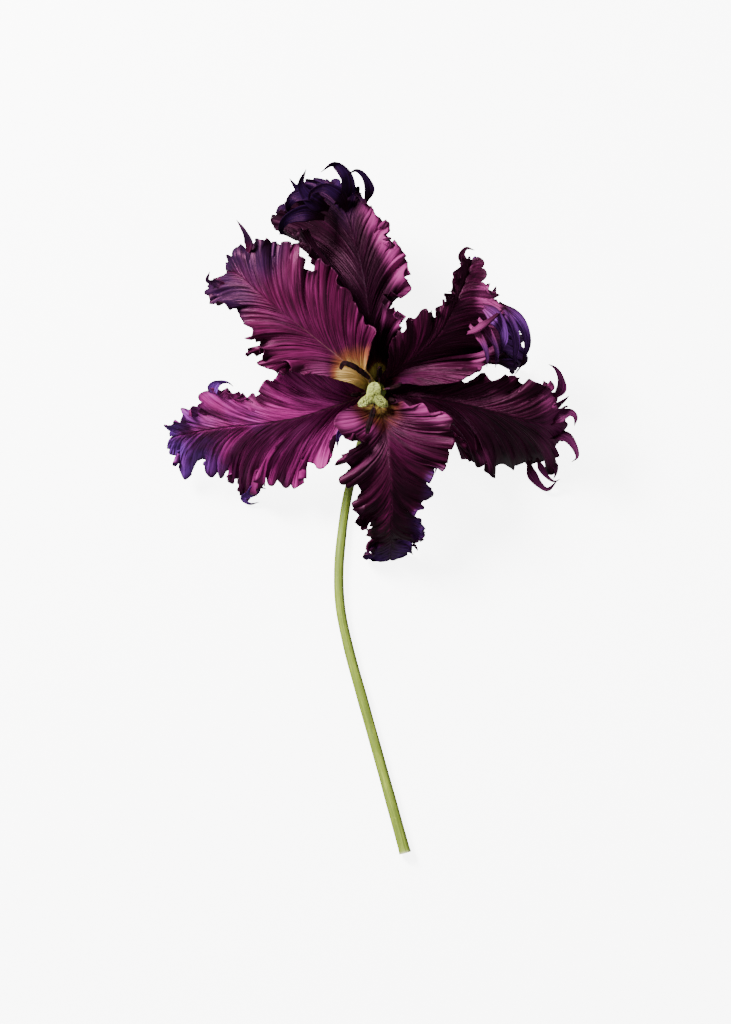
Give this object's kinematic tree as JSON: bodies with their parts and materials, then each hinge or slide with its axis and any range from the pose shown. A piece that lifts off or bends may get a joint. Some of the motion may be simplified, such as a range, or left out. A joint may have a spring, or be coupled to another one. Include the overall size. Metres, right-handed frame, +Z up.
{
  "type": "cut tulip flower",
  "caption": "Wide open parrot tulip with dark maroon and violet fringed petals and a bare curved green stem, cut and lying face up; for bouquets and still lifes.",
  "frame": {"origin": "on the surface that the cut flower lies on, below the middle of its box", "axes": "+Y along the length, from the cut end of the stem towards the flower; +Z up, the way the open flower faces; +X to the right as seen from above"},
  "size_m": [0.1822, 0.3048, 0.0543],
  "materials": {
    "stem_green": "pale yellow-green stem skin, satin, with fine lengthwise striations",
    "petal_bright": "thin satin petal, magenta with an orange-yellow base and blue-violet tips, veined lengthwise",
    "petal_dark": "thin satin petal, dark maroon to near black with violet tips, veined lengthwise",
    "filament": "smooth waxy stalk, yellow below and dark above",
    "anther": "matt powdery purple-black",
    "pistil": "pale yellow-green, finely granular on the stigma"
  },
  "bodies": {
    "root": {"stem": "stem_green", "tepal_upper_left": "petal_bright", "tepal_top": "petal_dark", "tepal_upper_right": "petal_dark", "tepal_right": "petal_dark", "tepal_bottom": "petal_dark", "tepal_left": "petal_bright", "filament_1": "filament", "anther_1": "anther", "filament_2": "filament", "anther_2": "anther", "filament_3": "filament", "anther_3": "anther", "filament_4": "filament", "anther_4": "anther", "filament_5": "filament", "anther_5": "anther", "filament_6": "filament", "anther_6": "anther", "ovary": "pistil", "stigma": "pistil"}
  },
  "joints": []
}
